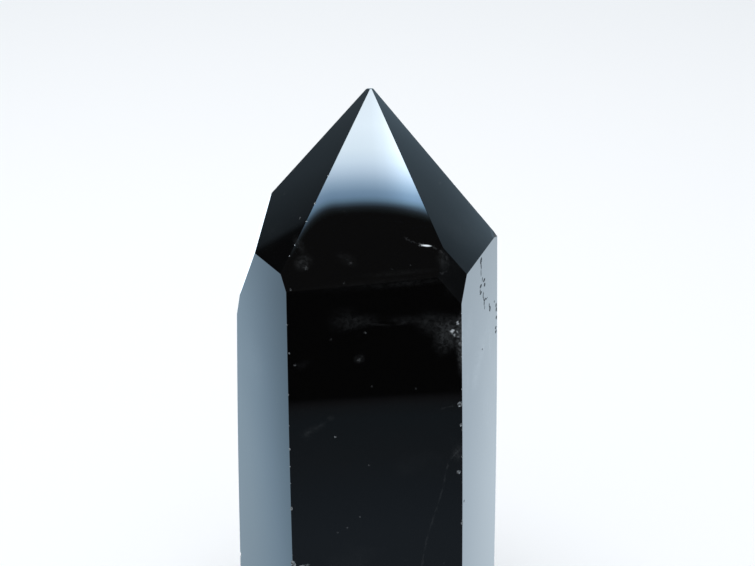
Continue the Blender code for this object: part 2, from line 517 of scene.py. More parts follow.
def cloud(tree, place, size, detail, distortion=0.0):
    """Soft noise whose lumps are about a given size across."""
    node = tree.nodes.new("ShaderNodeTexNoise")
    feed(tree, node.inputs["Vector"], place)
    node.inputs["Scale"].default_value = 1.0 / size
    node.inputs["Detail"].default_value = detail
    node.inputs["Distortion"].default_value = distortion
    return node.outputs["Fac"]


print("quartz mirrors", round(100.0 * ((QUARTZ_IOR - 1.0) / (QUARTZ_IOR + 1.0)) ** 2, 1), "% straight on")

# %% One soft oval spot in object space
SPOT_DEPTH = 0.9 * MM


def oval(tree, place, spot, half_width, half_height, core):
    """1 inside the core of an oval that lies on a face, fading to 0 at its rim."""
    mapping = tree.nodes.new("ShaderNodeMapping")
    mapping.vector_type = "TEXTURE"
    feed(tree, mapping.inputs["Vector"], place)
    mapping.inputs["Location"].default_value = spot.translation
    mapping.inputs["Rotation"].default_value = spot.to_euler()
    mapping.inputs["Scale"].default_value = (half_width * MM, half_height * MM, SPOT_DEPTH)
    distance = tree.nodes.new("ShaderNodeVectorMath")
    distance.operation = "LENGTH"
    tree.links.new(mapping.outputs["Vector"], distance.inputs[0])
    return between(tree, distance.outputs["Value"], 1.0, core, smooth=True)


print("a mark reaches", round(SPOT_DEPTH / MM, 2), "mm under and over its face")

# %% Where specks, cracks and veils lie under the polish
# Specks are pin-sharp: (face, across, height, half width, half height, brightness) in millimetres
SPECKS = (
    ("front", -4.33, 60.41, 0.13, 0.12, 0.03),
    ("front", -10.50, 59.96, 0.12, 0.12, 0.10),
    ("front", -1.91, 53.99, 0.17, 0.15, 0.07),
    ("front", -5.94, 53.28, 0.19, 0.12, 0.02),
    ("front", -10.20, 50.05, 0.12, 0.14, 0.20),
    ("front", -2.66, 50.40, 0.30, 0.24, 0.03),
    ("front", -1.10, 46.67, 0.12, 0.14, 0.02),
    ("front", 4.08, 46.09, 0.12, 0.12, 0.02),
    ("front", -5.50, 40.02, 0.13, 0.13, 0.22),
    ("front", -1.51, 35.81, 0.12, 0.14, 0.06),
    ("front", -2.65, 28.38, 0.12, 0.12, 0.07),
    ("front", -4.28, 26.87, 0.12, 0.14, 0.06),
    ("front", -5.41, 26.22, 0.12, 0.12, 0.04),
    ("front", 9.02, 54.62, 0.19, 0.30, 0.34),
    ("front", 8.42, 53.58, 0.27, 0.36, 0.45),
    ("front", 9.04, 53.39, 0.16, 0.18, 0.35),
    ("front", 8.68, 53.05, 0.12, 0.26, 0.26),
    ("front", 9.10, 52.85, 0.20, 0.14, 0.10),
    ("front", 9.30, 51.90, 0.14, 0.22, 0.08),
    ("front", -9.30, 21.66, 0.45, 0.12, 0.10),
    ("tip_front", 5.30, 64.02, 0.40, 0.12, 0.22),
    ("tip_front", 3.98, 62.04, 0.12, 0.12, 0.03),
    ("tip_front", 1.74, 61.70, 0.13, 0.13, 0.03),
    ("tip_front", -3.05, 62.38, 0.26, 0.20, 0.02),
    ("tip_front", -8.27, 62.06, 0.26, 0.22, 0.04),
    ("tip_front_left", 1.91, 66.65, 0.16, 0.16, 0.09),
    ("tip_front_right", 1.90, 68.40, 0.36, 0.20, 0.012),
)
# Cracks are thin lines along a route: (face, half width, brightness, ((across, height), ...)) in millimetres
CRACKS = (
    ("front", 0.15, 0.012, (
        (9.8, 37.6), (8.2, 35.8), (7.9, 34.3), (7.6, 32.3), (6.9, 29.3), (6.6, 28.3),
        (5.9, 25.6), (5.3, 22.6), (5.0, 20.0), (4.6, 17.5),
    )),
    ("front", 0.12, 0.012, ((8.8, 43.45), (7.9, 43.3), (7.0, 43.0))),
    ("tip_front", 0.12, 0.022, ((3.3, 64.9), (4.0, 64.45), (4.8, 64.2), (5.3, 64.05))),
    ("tip_front", 0.18, 0.018, (
        (6.5, 63.85), (7.2, 63.5), (8.0, 63.0), (8.45, 62.3), (8.4, 61.6), (7.9, 61.1), (7.3, 61.2),
    )),
    ("front", 0.20, 0.006, ((-9.3, 40.5), (-8.3, 41.1), (-6.4, 42.2))),
    ("front", 0.22, 0.006, (
        (-4.9, 54.3), (-2.3, 55.2), (1.6, 54.7), (3.5, 55.2), (5.8, 54.9), (7.6, 54.0),
    )),
)
# One open feather lies under the tip face; the light it catches along its whole length is a painted
# highlight, bright base colour laid over the real flaw:
# (face, across, height, half width, half height, turn in degrees, brightness) in millimetres
PAINTED_FEATHER_GLINTS = (("tip_front", 5.87, 63.93, 0.74, 0.15, -6.0, 0.95),)
# Veils are thin clouds, given in the same way
VEILS = (
    ("front", -2.6, 55.5, 3.4, 1.3, 4.0, 0.010),
    ("front", -4.6, 55.8, 2.6, 2.2, 30.0, 0.006),
    ("front", 2.8, 55.4, 3.0, 0.9, -4.0, 0.008),
    ("front", 6.4, 54.6, 3.2, 2.2, -20.0, 0.016),
    ("front", 8.0, 53.2, 2.2, 3.4, -20.0, 0.034),
    ("front", 9.7, 52.6, 1.1, 4.6, 0.0, 0.085),
    ("front", 9.6, 49.6, 0.7, 3.0, 0.0, 0.030),
    ("front", -2.6, 50.5, 0.9, 0.8, 20.0, 0.022),
    ("front", -9.3, 50.1, 1.3, 0.7, 30.0, 0.006),
    ("front", -0.6, 60.15, 11.5, 0.9, 2.6, 0.0035),
    ("front", 3.4, 60.1, 6.0, 0.6, 3.0, 0.004),
    ("tip_front", 2.6, 61.3, 6.5, 0.5, 3.0, 0.004),
    ("front", -8.2, 41.2, 2.4, 0.8, 25.0, 0.006),
    ("front", -6.1, 42.6, 0.6, 0.5, 20.0, 0.014),
    ("front", -8.9, 40.4, 0.8, 0.9, 0.0, 0.008),
    ("front", 9.4, 36.8, 1.2, 1.6, 0.0, 0.014),
    ("tip_front", -8.6, 62.6, 1.5, 1.2, 30.0, 0.018),
    ("tip_front", 8.0, 62.3, 1.2, 1.8, 20.0, 0.014),
    ("tip_front", -3.5, 62.8, 1.7, 0.9, -30.0, 0.008),
    ("tip_front", -9.4, 65.0, 0.7, 3.2, 32.0, 0.012),
    ("front_right", 0.9, 46.9, 7.4, 1.6, 44.0, 0.042),
    ("front_right", -0.2, 47.4, 4.6, 2.8, 52.0, 0.026),
    ("front_right", -1.6, 44.6, 2.0, 2.3, 0.0, 0.050),
    ("front_right", -4.3, 52.4, 2.8, 3.6, 0.0, 0.050),
    ("front_right", 4.0, 47.0, 1.1, 3.4, 0.0, 0.055),
    ("front_right", -4.6, 45.6, 1.2, 4.6, 0.0, 0.036),
    ("front_right", 3.0, 38.0, 2.8, 7.5, 14.0, 0.026),
    ("front_right", 0.5, 51.0, 6.5, 9.0, 0.0, 0.018),
    ("front_left", -2.0, 47.0, 3.5, 6.0, 20.0, 0.018),
    ("back", 3.0, 30.0, 3.5, 7.0, 20.0, 0.018),
    ("back_left", -2.0, 46.0, 3.0, 5.0, -15.0, 0.016),
    ("back_right", 1.5, 52.0, 3.2, 2.2, 10.0, 0.016),
)
print("specks:", len(SPECKS), "cracks:", len(CRACKS), "feathers:", len(PAINTED_FEATHER_GLINTS), "veils:", len(VEILS))

# %% The polished stone
STONE_COLOUR = (0.0006, 0.0006, 0.0007)
# Roughness of the polish
POLISH = 0.01
# Wisps break every veil up: lumps of this size, from low to high noise, never darker than the floor
WISP_SIZE = 0.4 * MM
WISP_DETAIL = 5.0
WISP_TWIST = 0.6
WISP_LOW = 0.40
WISP_HIGH = 0.66
WISP_FLOOR = 0.22
# Faint haze lies here and there on every face
PATCH_SIZE = 11.0 * MM
PATCH_DETAIL = 3.0
PATCH_LOW = 0.62
PATCH_HIGH = 0.80
PATCH_BRIGHTNESS = 0.008

polished, tree, shader = new_material("polished_morion", STONE_COLOUR, POLISH)
place = tree.nodes.new("ShaderNodeTexCoord").outputs["Object"]
wisps = between(tree, cloud(tree, place, WISP_SIZE, WISP_DETAIL, WISP_TWIST), WISP_LOW, WISP_HIGH)
wisps = math_node(tree, "MULTIPLY_ADD", wisps, 1.0 - WISP_FLOOR, WISP_FLOOR)
patches = between(tree, cloud(tree, place, PATCH_SIZE, PATCH_DETAIL), PATCH_LOW, PATCH_HIGH)
print("roughness of the polish:", POLISH)

# %% A place that is shaken, so that marks get ragged outlines
RAGGED_SIZE = 0.20 * MM
RAGGED = 0.62 * MM

shaken = tree.nodes.new("ShaderNodeTexNoise")
feed(tree, shaken.inputs["Vector"], place)
shaken.inputs["Scale"].default_value = 1.0 / RAGGED_SIZE
push = tree.nodes.new("ShaderNodeVectorMath")
push.operation = "MULTIPLY_ADD"
feed(tree, push.inputs[0], shaken.outputs["Color"])
push.inputs[1].default_value = (RAGGED, RAGGED, RAGGED)
push.inputs[2].default_value = (-RAGGED / 2.0, -RAGGED / 2.0, -RAGGED / 2.0)
ragged_place = tree.nodes.new("ShaderNodeVectorMath")
feed(tree, ragged_place.inputs[0], place)
feed(tree, ragged_place.inputs[1], push.outputs["Vector"])
ragged = ragged_place.outputs["Vector"]
print("outlines wander by up to", round(RAGGED / 2.0 / MM, 2), "mm")

# %% Lay the veils, the specks, and the feather with its painted glint
# The share of its half width over which a mark is whole, before it fades
VEIL_CORE = 0.0
SPECK_CORE = 0.4
PAINTED_GLINT_CORE = 0.3

veiled = math_node(tree, "MULTIPLY", patches, PATCH_BRIGHTNESS)
for face, across, height, half_width, half_height, turn, brightness in VEILS:
    spot = face_place(face, across, height) @ Matrix.Rotation(math.radians(turn), 4, "Z")
    cover = oval(tree, place, spot, half_width, half_height, VEIL_CORE)
    veiled = math_node(tree, "MULTIPLY_ADD", cover, brightness, veiled)
marks = math_node(tree, "MULTIPLY", veiled, wisps)
for face, across, height, half_width, half_height, brightness in SPECKS:
    cover = oval(tree, ragged, face_place(face, across, height), half_width, half_height, SPECK_CORE)
    marks = math_node(tree, "MULTIPLY_ADD", cover, brightness, marks)
# The feather is a real flaw, but its brightness is a painted highlight: light that it would reflect, laid
# into the base colour
for face, across, height, half_width, half_height, turn, brightness in PAINTED_FEATHER_GLINTS:
    spot = face_place(face, across, height) @ Matrix.Rotation(math.radians(turn), 4, "Z")
    cover = oval(tree, place, spot, half_width, half_height, PAINTED_GLINT_CORE)
    marks = math_node(tree, "MULTIPLY_ADD", cover, brightness, marks)
print("nodes so far:", len(tree.nodes))

# %% The healed cracks follow their routes
# Each straight stretch is this much longer than its share of the route, so that they join
OVERLAP = 1.2
CRACK_CORE = 0.1

for face, half_width, brightness, route in CRACKS:
    for (across_a, height_a), (across_b, height_b) in zip(route, route[1:]):
        spot = face_place(face, (across_a + across_b) / 2.0, (height_a + height_b) / 2.0)
        turn = Matrix.Rotation(math.atan2(height_b - height_a, across_b - across_a), 4, "Z")
        half_length = math.hypot(across_b - across_a, height_b - height_a) / 2.0 * OVERLAP
        cover = oval(tree, ragged, spot @ turn, half_length, half_width, CRACK_CORE)
        marks = math_node(tree, "MULTIPLY_ADD", cover, brightness, marks)
print("nodes with cracks:", len(tree.nodes))

# %% [markdown]
# ### Pinpricks
#
# Polishing never closes every pore, so each face also keeps a few pale dots, a fifth of a millimetre
# across. Voronoi cells hold one dot each, and a random pick leaves most of the cells empty.

# %% Pinpricks, and the finished colour
MARK_COLOUR = (0.94, 1.0, 1.05)
PRICK_SPACING = 1.9 * MM
# As a share of the spacing
PRICK_RADIUS = 0.055
PRICK_BRIGHTNESS = 0.03
CELLS_PICKED_ABOVE = 0.6

cells = tree.nodes.new("ShaderNodeTexVoronoi")
cells.inputs["Scale"].default_value = 1.0 / PRICK_SPACING
feed(tree, cells.inputs["Vector"], place)
picked = math_node(tree, "GREATER_THAN", cells.outputs["Color"], CELLS_PICKED_ABOVE)
dots = between(tree, cells.outputs["Distance"], PRICK_RADIUS, 0.0)
pricks = math_node(tree, "MULTIPLY", dots, picked)
lit = math_node(tree, "MULTIPLY_ADD", pricks, PRICK_BRIGHTNESS, marks)
scaled = tree.nodes.new("ShaderNodeVectorMath")
scaled.operation = "SCALE"
scaled.inputs[0].default_value = MARK_COLOUR
feed(tree, scaled.inputs["Scale"], lit)
body = tree.nodes.new("ShaderNodeVectorMath")
body.operation = "ADD"
body.inputs[0].default_value = STONE_COLOUR
feed(tree, body.inputs[1], scaled.outputs["Vector"])
feed(tree, shader.inputs["Base Color"], body.outputs["Vector"])
print("pinpricks are", round(2.0 * PRICK_RADIUS * PRICK_SPACING / MM, 2), "mm across")

# %% [markdown]
# ### Broken and ground surfaces
#
# A fresh chip is a little shell, dark in most places, with glints painted on it: bright patches in its base
# colour stand in for the light that the broken shell reflects. An old pit is duller and greyer, because dust
# and wheel paste stay in it.
# The base was ground but never polished, so it is frosted. Each gets a material of its own, which is simpler
# than painting all of them by place on one.

# %% The walls of chips
SHELL_COLOUR = (0.1, 0.1, 0.1)
SHELL_ROUGHNESS = 0.18
# The chip's own wall colour is the dark one; the bright one is painted glints, highlight laid into the base
# colour
SHELL_DARK = (0.012, 0.013, 0.015, 1.0)
SHELL_BRIGHT = (0.34, 0.37, 0.39, 1.0)
GLINT_SIZE = 0.14 * MM
GLINT_DETAIL = 2.0
GLINT_LOW = 0.40
GLINT_HIGH = 0.66

chipped, tree, shader = new_material("chipped_morion", SHELL_COLOUR, SHELL_ROUGHNESS)
place = tree.nodes.new("ShaderNodeTexCoord").outputs["Object"]
# Painted highlight: a noise picks where the bright glint colour covers the dark wall
painted_glints = between(tree, cloud(tree, place, GLINT_SIZE, GLINT_DETAIL), GLINT_LOW, GLINT_HIGH)
shell = tree.nodes.new("ShaderNodeMix")
shell.data_type = "RGBA"
feed(tree, shell.inputs["Factor"], painted_glints)
shell.inputs["A"].default_value = SHELL_DARK
shell.inputs["B"].default_value = SHELL_BRIGHT
feed(tree, shader.inputs["Base Color"], shell.outputs["Result"])
print("glints are about", round(GLINT_SIZE / MM, 2), "mm across")

# %% The walls of pits and splits, and the ground base
PIT_COLOUR = (0.09, 0.105, 0.12)
PIT_ROUGHNESS = 0.9
PIT_MIRROR = 0.2
GROUND_COLOUR = (0.006, 0.006, 0.007)
GROUND_ROUGHNESS = 0.38
FROST_SIZE = 0.25 * MM
FROST_DETAIL = 4.0
FROST_LOW = 0.3
FROST_HIGH = 0.7
SMOOTHEST = 0.32
FROST_SPREAD = 0.12

pitted, tree, shader = new_material("pitted_morion", PIT_COLOUR, PIT_ROUGHNESS)
shader.inputs["Specular IOR Level"].default_value = PIT_MIRROR
ground, tree, shader = new_material("ground_morion", GROUND_COLOUR, GROUND_ROUGHNESS)
place = tree.nodes.new("ShaderNodeTexCoord").outputs["Object"]
frost = between(tree, cloud(tree, place, FROST_SIZE, FROST_DETAIL), FROST_LOW, FROST_HIGH)
feed(tree, shader.inputs["Roughness"], math_node(tree, "MULTIPLY_ADD", frost, FROST_SPREAD, SMOOTHEST))
print("the base is between", SMOOTHEST, "and", round(SMOOTHEST + FROST_SPREAD, 2), "rough")

# %% [markdown]
# ## Putting the stone together
#
# The Boolean runs once and its result becomes the mesh of the finished piece, so that the exported
# shape and the rendered shape are one and the same. Edges that turn by more than a few degrees are
# marked sharp: facets shade softly inside and break cleanly at their borders.

# %% Cut the flaws and keep the result
SHARP_ABOVE = math.radians(4.0)
FACES_DOWN = -0.9


def mesh_object(name, bm, materials):
    """A named object made from a bmesh, with its materials."""
    mesh = bpy.data.meshes.new(name)
    bm.to_mesh(mesh)
    bm.free()
    for material in materials:
        mesh.materials.append(material)
    piece = bpy.data.objects.new(name, mesh)
    bpy.context.scene.collection.objects.link(piece)
    return piece


finishes = [polished, chipped, pitted, ground]
stone.normal_update()
for face in stone.faces:
    if face.normal.z < FACES_DOWN:
        face.material_index = finishes.index(ground)
uncut = mesh_object("uncut_stone", stone, finishes)
cutter = mesh_object("flaw_grains", grains, finishes)
flaws = uncut.modifiers.new("flaws", "BOOLEAN")
flaws.operation = "DIFFERENCE"
flaws.object = cutter
flaws.solver = "MANIFOLD"
flaws.material_mode = "INDEX"
bpy.context.view_layer.update()
evaluated = uncut.evaluated_get(bpy.context.evaluated_depsgraph_get())
crystal = bpy.data.objects.new("morion_point", bpy.data.meshes.new_from_object(evaluated))
bpy.context.scene.collection.objects.link(crystal)
for helper in (uncut, cutter):
    bpy.data.objects.remove(helper, do_unlink=True)
crystal.data.shade_smooth()
crystal.data.set_sharp_from_angle(angle=SHARP_ABOVE)
print("finished stone:", len(crystal.data.polygons), "faces")

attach(crystal, "root")
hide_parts("quartz_point")

# %% [markdown]
# ## The floor and the lamp
#
# The stone stands on a wide sheet of pale paper under one soft lamp, so near to white that only the far
# end falls off. The paper isn't mirrored in the stone: what the facets show is painted separately, next.

# %% The floor
FLOOR_RADIUS = 4.0
FLOOR_CORNERS = 96
# A hair below the stone's base, so that the two never share a plane
FLOOR_DROP = 0.05 * MM
FLOOR_COLOUR = (0.941, 0.945, 0.960, 1.0)

slab = bmesh.new()
bmesh.ops.create_circle(slab, cap_ends=True, segments=FLOOR_CORNERS, radius=FLOOR_RADIUS,
                        matrix=Matrix.Translation((0.0, 0.0, -FLOOR_DROP)))
paper = bpy.data.materials.new("pale_paper")
paper.use_nodes = True
paper_shader = paper.node_tree.nodes["Principled BSDF"]
paper_shader.inputs["Base Color"].default_value = FLOOR_COLOUR
paper_shader.inputs["Roughness"].default_value = 1.0
paper_shader.inputs["Specular IOR Level"].default_value = 0.0
floor = mesh_object("floor", slab, [paper])
floor.visible_glossy = False
print("the floor reaches", FLOOR_RADIUS, "m each way")

# %% The soft lamp over the floor
LAMP_PLACE = (-0.035, 0.02, 0.42)
LAMP_WIDTH = 0.30
LAMP_WATTS = 0.75

lamp_data = bpy.data.lights.new("soft_lamp", "AREA")
lamp_data.shape = "DISK"
lamp_data.size = LAMP_WIDTH
lamp_data.energy = LAMP_WATTS
lamp = bpy.data.objects.new("soft_lamp", lamp_data)
lamp.location = LAMP_PLACE
lamp.visible_glossy = False
lamp.visible_camera = False
bpy.context.scene.collection.objects.link(lamp)
print("lamp", LAMP_PLACE[2], "m above the floor")

# %% [markdown]
# ## Surroundings worth reflecting
#
# A polished black stone is drawn by what it mirrors. A model of the whole room would be slow to build
# and hard to aim, and a picture of one would be fixed to a single room, so the world paints each thing
# by its direction instead, and only reflections see it. Directions are given as the camera sees them:
# turn 0 is straight away from it, growing to the right, and rise is the height over the horizon.

# %% Read the direction in the sky
TO_DEGREES = 180.0 / math.pi

world = bpy.data.worlds.new("surroundings")
bpy.context.scene.world = world
world.use_nodes = True
tree = world.node_tree

turned = tree.nodes.new("ShaderNodeVectorRotate")
turned.rotation_type = "Z_AXIS"
turned.inputs["Angle"].default_value = math.radians(-VIEW_AZIMUTH)
sky = tree.nodes.new("ShaderNodeTexCoord")
tree.links.new(sky.outputs["Generated"], turned.inputs["Vector"])
axes = tree.nodes.new("ShaderNodeSeparateXYZ")
tree.links.new(turned.outputs["Vector"], axes.inputs["Vector"])
sky_rise = math_node(tree, "MULTIPLY", math_node(tree, "ARCSINE", axes.outputs["Z"]), TO_DEGREES)
sky_turn = math_node(tree, "ARCTAN2", axes.outputs["X"], axes.outputs["Y"])
sky_turn = math_node(tree, "MULTIPLY", sky_turn, TO_DEGREES)
# The turn again, from 0 to 360, for things behind the camera
around = math_node(tree, "FLOORED_MODULO", sky_turn, 360.0)
print("turns start", -VIEW_AZIMUTH, "degrees from the stone's own back")

# %% Helpers for painted light
# How much more green and blue than red there is in a grey as cool as daylight on white paper
GREY_GREEN = 0.18
GREY_BLUE = 0.33


def grey(value, blueness=1.0):
    """A grey of a given brightness, with more or less blue in it."""
    return (value, value * (1.0 + GREY_GREEN * blueness), value * (1.0 + GREY_BLUE * blueness))


def ramp(value, stops):
    """Read colours off a scale. Each stop is (where, (red, green, blue)), from low to high."""
    low, high = stops[0][0], stops[-1][0]
    node = tree.nodes.new("ShaderNodeValToRGB")
    feed(tree, node.inputs["Fac"], between(tree, value, low, high))
    marks = node.color_ramp.elements
    while len(marks) < len(stops):
        marks.new(1.0)
    for mark, (where, colour) in zip(marks, stops):
        mark.position = (where - low) / (high - low)
        mark.color = (*colour, 1.0)
    return node.outputs["Color"]


def share(value, stops):
    """Read plain numbers off a scale. Each stop is (where, number), from low to high."""
    return ramp(value, [(where, (number, number, number)) for where, number in stops])


def combine(operation, first, second):
    """Multiply or add two colours."""
    node = tree.nodes.new("ShaderNodeVectorMath")
    node.operation = operation
    feed(tree, node.inputs[0], first)
    feed(tree, node.inputs[1], second)
    return node.outputs["Vector"]


print("full daylight grey:", [round(value, 2) for value in grey(1.0)])

# %% [markdown]
# ### The pale paper
#
# The two sides that turn away from the camera mirror the paper that the stone stands on, at a grazing
# angle, so they look slate blue. The paper is brightest straight behind the stone, dims to either side
# and towards the horizon, and is read by turn and by rise. The left side also shades from one of its
# edges to the other, more strongly higher up, so a slope that changes with the turn is mixed in there.

# %% The paper, as the sides mirror it
PAPER_BY_TURN = (
    (-110.0, (0.0, 0.0, 0.0)), (-95.0, (0.10, 0.15, 0.20)), (-75.0, (0.45, 0.68, 0.90)),
    (-66.0, (0.70, 1.05, 1.40)), (-62.5, (0.87, 1.29, 1.67)), (-61.2, (1.11, 1.59, 2.06)),
    (-60.0, (1.31, 1.81, 2.26)), (-58.9, (1.46, 1.94, 2.34)), (-54.0, (1.65, 2.10, 2.50)),
    (-20.0, (1.90, 2.25, 2.55)), (34.0, (1.95, 2.28, 2.58)), (39.8, (1.76, 2.07, 2.33)),
    (42.2, (1.57, 1.89, 2.18)), (46.0, (1.45, 1.75, 2.05)), (55.0, (1.20, 1.45, 1.70)),
    (75.0, (0.75, 0.90, 1.05)), (95.0, (0.20, 0.24, 0.28)), (110.0, (0.0, 0.0, 0.0)),
)
PAPER_BY_RISE = (
    (-90.0, 0.70), (-45.0, 0.82), (-35.0, 0.93), (-32.0, 1.0), (-28.5, 1.0), (-27.0, 0.95),
    (-25.0, 0.85), (-22.0, 0.72), (-17.0, 0.50), (-9.5, 0.22), (-1.0, 0.06), (1.0, 0.0),
)
paper_light = combine("MULTIPLY", ramp(sky_turn, PAPER_BY_TURN), share(sky_rise, PAPER_BY_RISE))
print("paper:", len(PAPER_BY_TURN), "stops by turn and", len(PAPER_BY_RISE), "by rise")

# %% The paper's shading, which differs at the left and at the right
PAPER_LEFT = ((-62.5, 0.0), (-59.3, 1.0), (-50.0, 0.5))
PAPER_SLOPE = (
    (-35.0, 0.0), (-32.0, 0.04), (-30.0, 0.10), (-28.8, 0.14), (-27.6, 0.20), (-26.4, 0.34), (-24.0, 0.36),
)
PAPER_RIGHT_BY_RISE = ((-34.0, 1.0), (-29.0, 1.0), (-27.0, 1.03), (-25.0, 1.10), (-20.0, 1.15))
# The left shading is whole at the second of these turns, and gone at the first
LEFT_STARTS = -30.0
LEFT_WHOLE = -50.0

aside = math_node(tree, "MULTIPLY_ADD", share(sky_turn, PAPER_LEFT), 2.0, -1.0)
left_shade = math_node(tree, "MULTIPLY_ADD", aside, share(sky_rise, PAPER_SLOPE), 1.0)
left_share = between(tree, sky_turn, LEFT_STARTS, LEFT_WHOLE)
right_share = math_node(tree, "SUBTRACT", 1.0, left_share)
right_shade = math_node(tree, "MULTIPLY", share(sky_rise, PAPER_RIGHT_BY_RISE), right_share)
paper_shade = math_node(tree, "MULTIPLY_ADD", left_shade, left_share, right_shade)
paper_light = combine("MULTIPLY", paper_light, paper_shade)
print("the left shading changes the paper by up to", PAPER_SLOPE[-1][1])

# %% [markdown]
# ### The near side of the room
#
# The broad front side looks back past the camera. Low down it mirrors a dark table with a soft far edge,
# which is the faint step across the face, and above that a dim room. The edge is bent into a wide arch,
# as a straight edge looks in a face that is slightly crowned. Paler sheets stand to the left and right
# of the camera. The first view doesn't show them, but from the sides they give the faces something to
# mirror.

# %% Pale sheets at both sides
SIDES_BY_TURN = (
    (74.0, grey(0.0)), (96.0, grey(0.40)), (110.0, grey(0.45, 0.8)), (124.0, grey(0.26, 0.8)),
    (138.0, grey(0.42)), (150.0, grey(0.32)), (158.0, grey(0.0)), (204.0, grey(0.0)),
    (214.0, grey(0.34)), (228.0, grey(0.42)), (244.0, grey(0.52)), (262.0, grey(0.30)),
    (284.0, grey(0.10)), (292.0, grey(0.0)),
)
SIDES_BY_RISE = (
    (-90.0, 0.6), (-45.0, 1.0), (-24.0, 0.95), (-14.0, 0.70), (-6.0, 0.42), (0.0, 0.16), (6.0, 0.0),
)
sides_light = combine("MULTIPLY", ramp(around, SIDES_BY_TURN), share(sky_rise, SIDES_BY_RISE))
print("sheets from", SIDES_BY_TURN[0][0], "to", SIDES_BY_TURN[-1][0], "degrees round")

# %% The dark table in front
TABLE_MIDDLE = 167.0
TABLE_CURVE = 0.014
TABLE_MOST = 3.0
TABLE_BY_RISE = (
    (-45.0, (0.24, 0.31, 0.38)), (-34.0, (0.18, 0.23, 0.288)), (-33.0, (0.175, 0.226, 0.285)),
    (-31.5, (0.144, 0.189, 0.240)), (-30.0, (0.124, 0.157, 0.191)), (-28.6, (0.100, 0.137, 0.170)),
    (-28.15, (0.090, 0.110, 0.130)), (-27.95, (0.066, 0.070, 0.080)), (-27.72, (0.0, 0.0, 0.0)),
)
TABLE_BY_TURN = ((110.0, 0.0), (140.0, 1.0), (215.0, 1.0), (250.0, 0.0))


def arched(middle_turn, curve, most):
    """The rise, raised away from a middle turn so that a level border bends into an arch."""
    away = math_node(tree, "SUBTRACT", around, middle_turn)
    fall = math_node(tree, "MULTIPLY", math_node(tree, "MULTIPLY", away, away), curve)
    return math_node(tree, "ADD", sky_rise, math_node(tree, "MINIMUM", fall, most))


table_rise = arched(TABLE_MIDDLE, TABLE_CURVE, TABLE_MOST)
table_light = combine("MULTIPLY", ramp(table_rise, TABLE_BY_RISE), share(around, TABLE_BY_TURN))
print("the table's far edge is", -TABLE_BY_RISE[-1][0], "degrees below the horizon")

# %% The dim room behind the camera
ROOM_BY_TURN = (
    (84.0, (0.0, 0.0, 0.0)), (104.0, (0.064, 0.073, 0.080)), (118.0, (0.066, 0.073, 0.080)),
    (150.0, (0.080, 0.080, 0.080)), (250.0, (0.080, 0.080, 0.080)), (288.0, (0.030, 0.032, 0.034)),
    (294.1, (0.030, 0.032, 0.034)), (296.0, (0.0, 0.0, 0.0)),
)
ROOM_BY_RISE = (
    (-90.0, 0.0), (-34.0, 0.0), (-27.8, 0.24), (-22.0, 0.24), (-8.0, 0.50), (6.0, 1.0), (14.0, 1.0),
    (28.0, 0.75), (46.0, 0.75), (70.0, 0.4),
)
room_light = combine("MULTIPLY", ramp(around, ROOM_BY_TURN), share(sky_rise, ROOM_BY_RISE))
print("the room is at most", max(colour[0] for turn, colour in ROOM_BY_TURN), "bright")

# %% [markdown]
# ### The backdrop and the ceiling
#
# The side faces of the tip look up and outwards. They mirror the ends of a pale backdrop that stands
# behind the stone, so they run from near black at its end to grey over it, and one of them keeps a thin
# brighter rim along the backdrop's leaning edge. Over it comes the ceiling, which shows mostly from
# higher up.

# %% The backdrop, which ends at the left and at the right
BACKDROP_LEFT_END = (
    (-66.1, 0.0), (-65.92, 0.02), (-65.74, 0.20), (-65.2, 0.31), (-64.8, 0.40), (-64.4, 0.51),
    (-64.0, 0.58), (-63.6, 0.66), (-63.2, 0.78), (-62.5, 1.0),
)
BACKDROP_LEFT = ((-62.0, 0.60), (-50.0, 1.0))
BACKDROP_RIGHT = (
    (46.0, 1.0), (51.2, 0.80), (52.0, 0.59), (52.8, 0.49), (53.2, 0.44), (53.6, 0.37), (54.0, 0.28),
    (54.4, 0.21), (56.0, 0.12), (62.0, 0.0),
)
BACKDROP_BY_RISE = (
    (-1.0, grey(0.0)), (1.0, grey(0.30, 2.2)), (6.0, grey(1.05, 2.2)), (7.8, grey(0.94, 2.2)),
    (8.6, grey(0.78, 2.2)), (9.4, grey(0.71, 2.2)), (12.0, grey(0.74, 2.4)), (20.0, grey(0.80, 2.0)),
    (26.0, grey(0.84, 1.9)), (34.0, grey(2.2, 1.2)), (42.0, grey(6.0, 1.0)), (60.0, grey(6.5, 1.0)),
    (90.0, grey(4.0, 1.0)),
)
backdrop_sides = combine("MULTIPLY", share(sky_turn, BACKDROP_LEFT_END), share(sky_turn, BACKDROP_LEFT))
backdrop_sides = combine("MULTIPLY", backdrop_sides, share(sky_turn, BACKDROP_RIGHT))
backdrop_light = combine("MULTIPLY", ramp(sky_rise, BACKDROP_BY_RISE), backdrop_sides)
print("the backdrop spans", BACKDROP_LEFT_END[0][0], "to", BACKDROP_RIGHT[-1][0], "degrees")

# %% The rim along its leaning edge
BACKDROP_LEAN = 0.444
BACKDROP_RIM = ((54.5, 1.0), (55.9, 1.6), (56.2, 1.5), (56.45, 1.3), (56.7, 1.12), (57.1, 1.0))

leaning = math_node(tree, "MULTIPLY_ADD", sky_rise, BACKDROP_LEAN, sky_turn)
backdrop_light = combine("MULTIPLY", backdrop_light, share(leaning, BACKDROP_RIM))
print("the rim is up to", max(number for where, number in BACKDROP_RIM), "times as bright")

